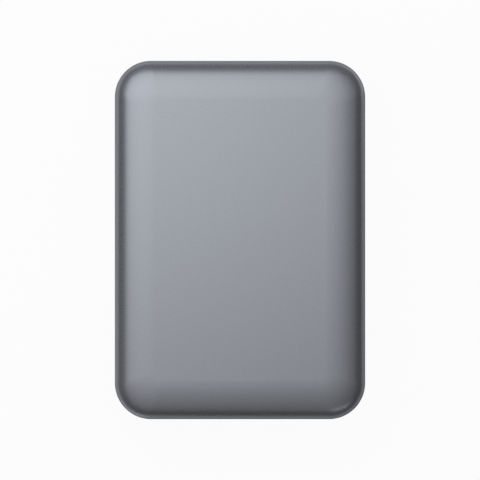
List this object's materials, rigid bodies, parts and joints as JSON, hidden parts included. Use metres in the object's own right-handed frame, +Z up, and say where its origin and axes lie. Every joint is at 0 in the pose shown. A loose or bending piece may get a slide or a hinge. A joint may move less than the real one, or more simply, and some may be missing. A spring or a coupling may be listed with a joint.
{
  "type": "desktop external hard drive",
  "caption": "Desktop external hard drive: soft-edged grey enclosure with rubber feet, data and power ports, and a spinning-disc drive hung in rubber inside it.",
  "frame": {"origin": "on the resting plane, below the middle of the enclosure's outline", "axes": "+Z up from the resting plane, +Y along the length towards the end with the ports, +X to the right seen from above with the ports at the far end"},
  "size_m": [0.122, 0.1746, 0.039],
  "materials": {
    "shell_paint": "satin metallic paint on moulded plastic",
    "base_plastic": "fine moulded texture",
    "rubber_black": "matte",
    "isolator_rubber": "soft matte",
    "screw_steel": "zinc plated",
    "clear_plastic": "clear moulded",
    "board_green": "solder mask over glass fibre board",
    "port_steel": "drawn, nickel plated",
    "port_plastic": "moulded",
    "chip_epoxy": "moulded epoxy",
    "can_aluminium": "drawn can",
    "led_resin": "clear resin",
    "shield_steel": "tin plated sheet",
    "casting_aluminium": "die cast, electrocoated",
    "lid_steel": "stamped, bead blasted",
    "gasket_rubber": "matte",
    "foam_pad": "soft foam sheet",
    "platter_mirror": "polished disc",
    "turned_aluminium": "turned",
    "motor_steel": "laminated sheet",
    "copper_wire": "enamelled windings",
    "magnet_nickel": "nickel plated",
    "arm_aluminium": "machined",
    "spring_steel": "thin rolled sheet",
    "ramp_plastic": "low friction moulding",
    "flex_amber": "polyimide film",
    "filter_white": "pleated felt"
  },
  "bodies": {
    "enclosure": {"top_cover": "shell_paint", "base_cover": "base_plastic", "isolator_screws": "screw_steel", "light_pipe": "clear_plastic", "bridge_board": "board_green", "usb_shell": "port_steel", "usb_tongue": "port_plastic", "power_jack_body": "port_plastic", "power_jack_pin": "port_steel", "sata_receptacle": "port_plastic", "bridge_chip": "chip_epoxy", "bridge_capacitors": "can_aluminium", "status_led": "led_resin", "bridge_screws": "screw_steel", "io_shield": "shield_steel", "drive_base": "casting_aluminium", "drive_lid": "lid_steel", "lid_gasket": "gasket_rubber", "lid_screws": "screw_steel", "controller_board": "board_green", "controller_screws": "screw_steel", "sata_plug": "port_plastic", "main_controller_chip": "chip_epoxy", "cache_chip": "chip_epoxy", "motor_driver_chip": "chip_epoxy", "insulator_pad": "foam_pad", "spindle_shaft": "screw_steel", "stator_core": "motor_steel", "stator_coils": "copper_wire", "pivot_shaft": "screw_steel", "lower_yoke": "magnet_nickel", "upper_yoke": "magnet_nickel", "lower_magnet": "magnet_nickel", "upper_magnet": "magnet_nickel", "parking_ramp": "ramp_plastic", "flex_bracket": "port_plastic", "flex_cable": "flex_amber", "recirculation_filter": "filter_white", "crash_stops": "gasket_rubber", "foot_front_left": "rubber_black", "isolator_front_left": "isolator_rubber", "foot_front_right": "rubber_black", "isolator_front_right": "isolator_rubber", "foot_rear_left": "rubber_black", "isolator_rear_left": "isolator_rubber", "foot_rear_right": "rubber_black", "isolator_rear_right": "isolator_rubber"},
    "spindle": {"spindle_hub": "turned_aluminium", "rotor_magnet": "magnet_nickel", "platter_1": "platter_mirror", "platter_2": "platter_mirror", "platter_3": "platter_mirror", "spacer_1": "turned_aluminium", "spacer_2": "turned_aluminium", "disc_clamp": "turned_aluminium", "clamp_screws": "screw_steel"},
    "actuator": {"actuator_arm": "arm_aluminium", "pivot_bearing": "turned_aluminium", "voice_coil": "copper_wire", "head_gimbals": "spring_steel"}
  },
  "joints": [
    {"name": "spindle_spin", "type": "hinge", "parent": "enclosure", "child": "spindle", "pos_m": [0, -0.0288, 0], "axis": [0, 0, 1], "continuous": true},
    {"name": "actuator_swing", "type": "hinge", "parent": "enclosure", "child": "actuator", "pos_m": [0.016, 0.02695, 0], "axis": [0, 0, 1], "range_deg": [0, 32], "deforming": ["flex_cable"]}
  ]
}
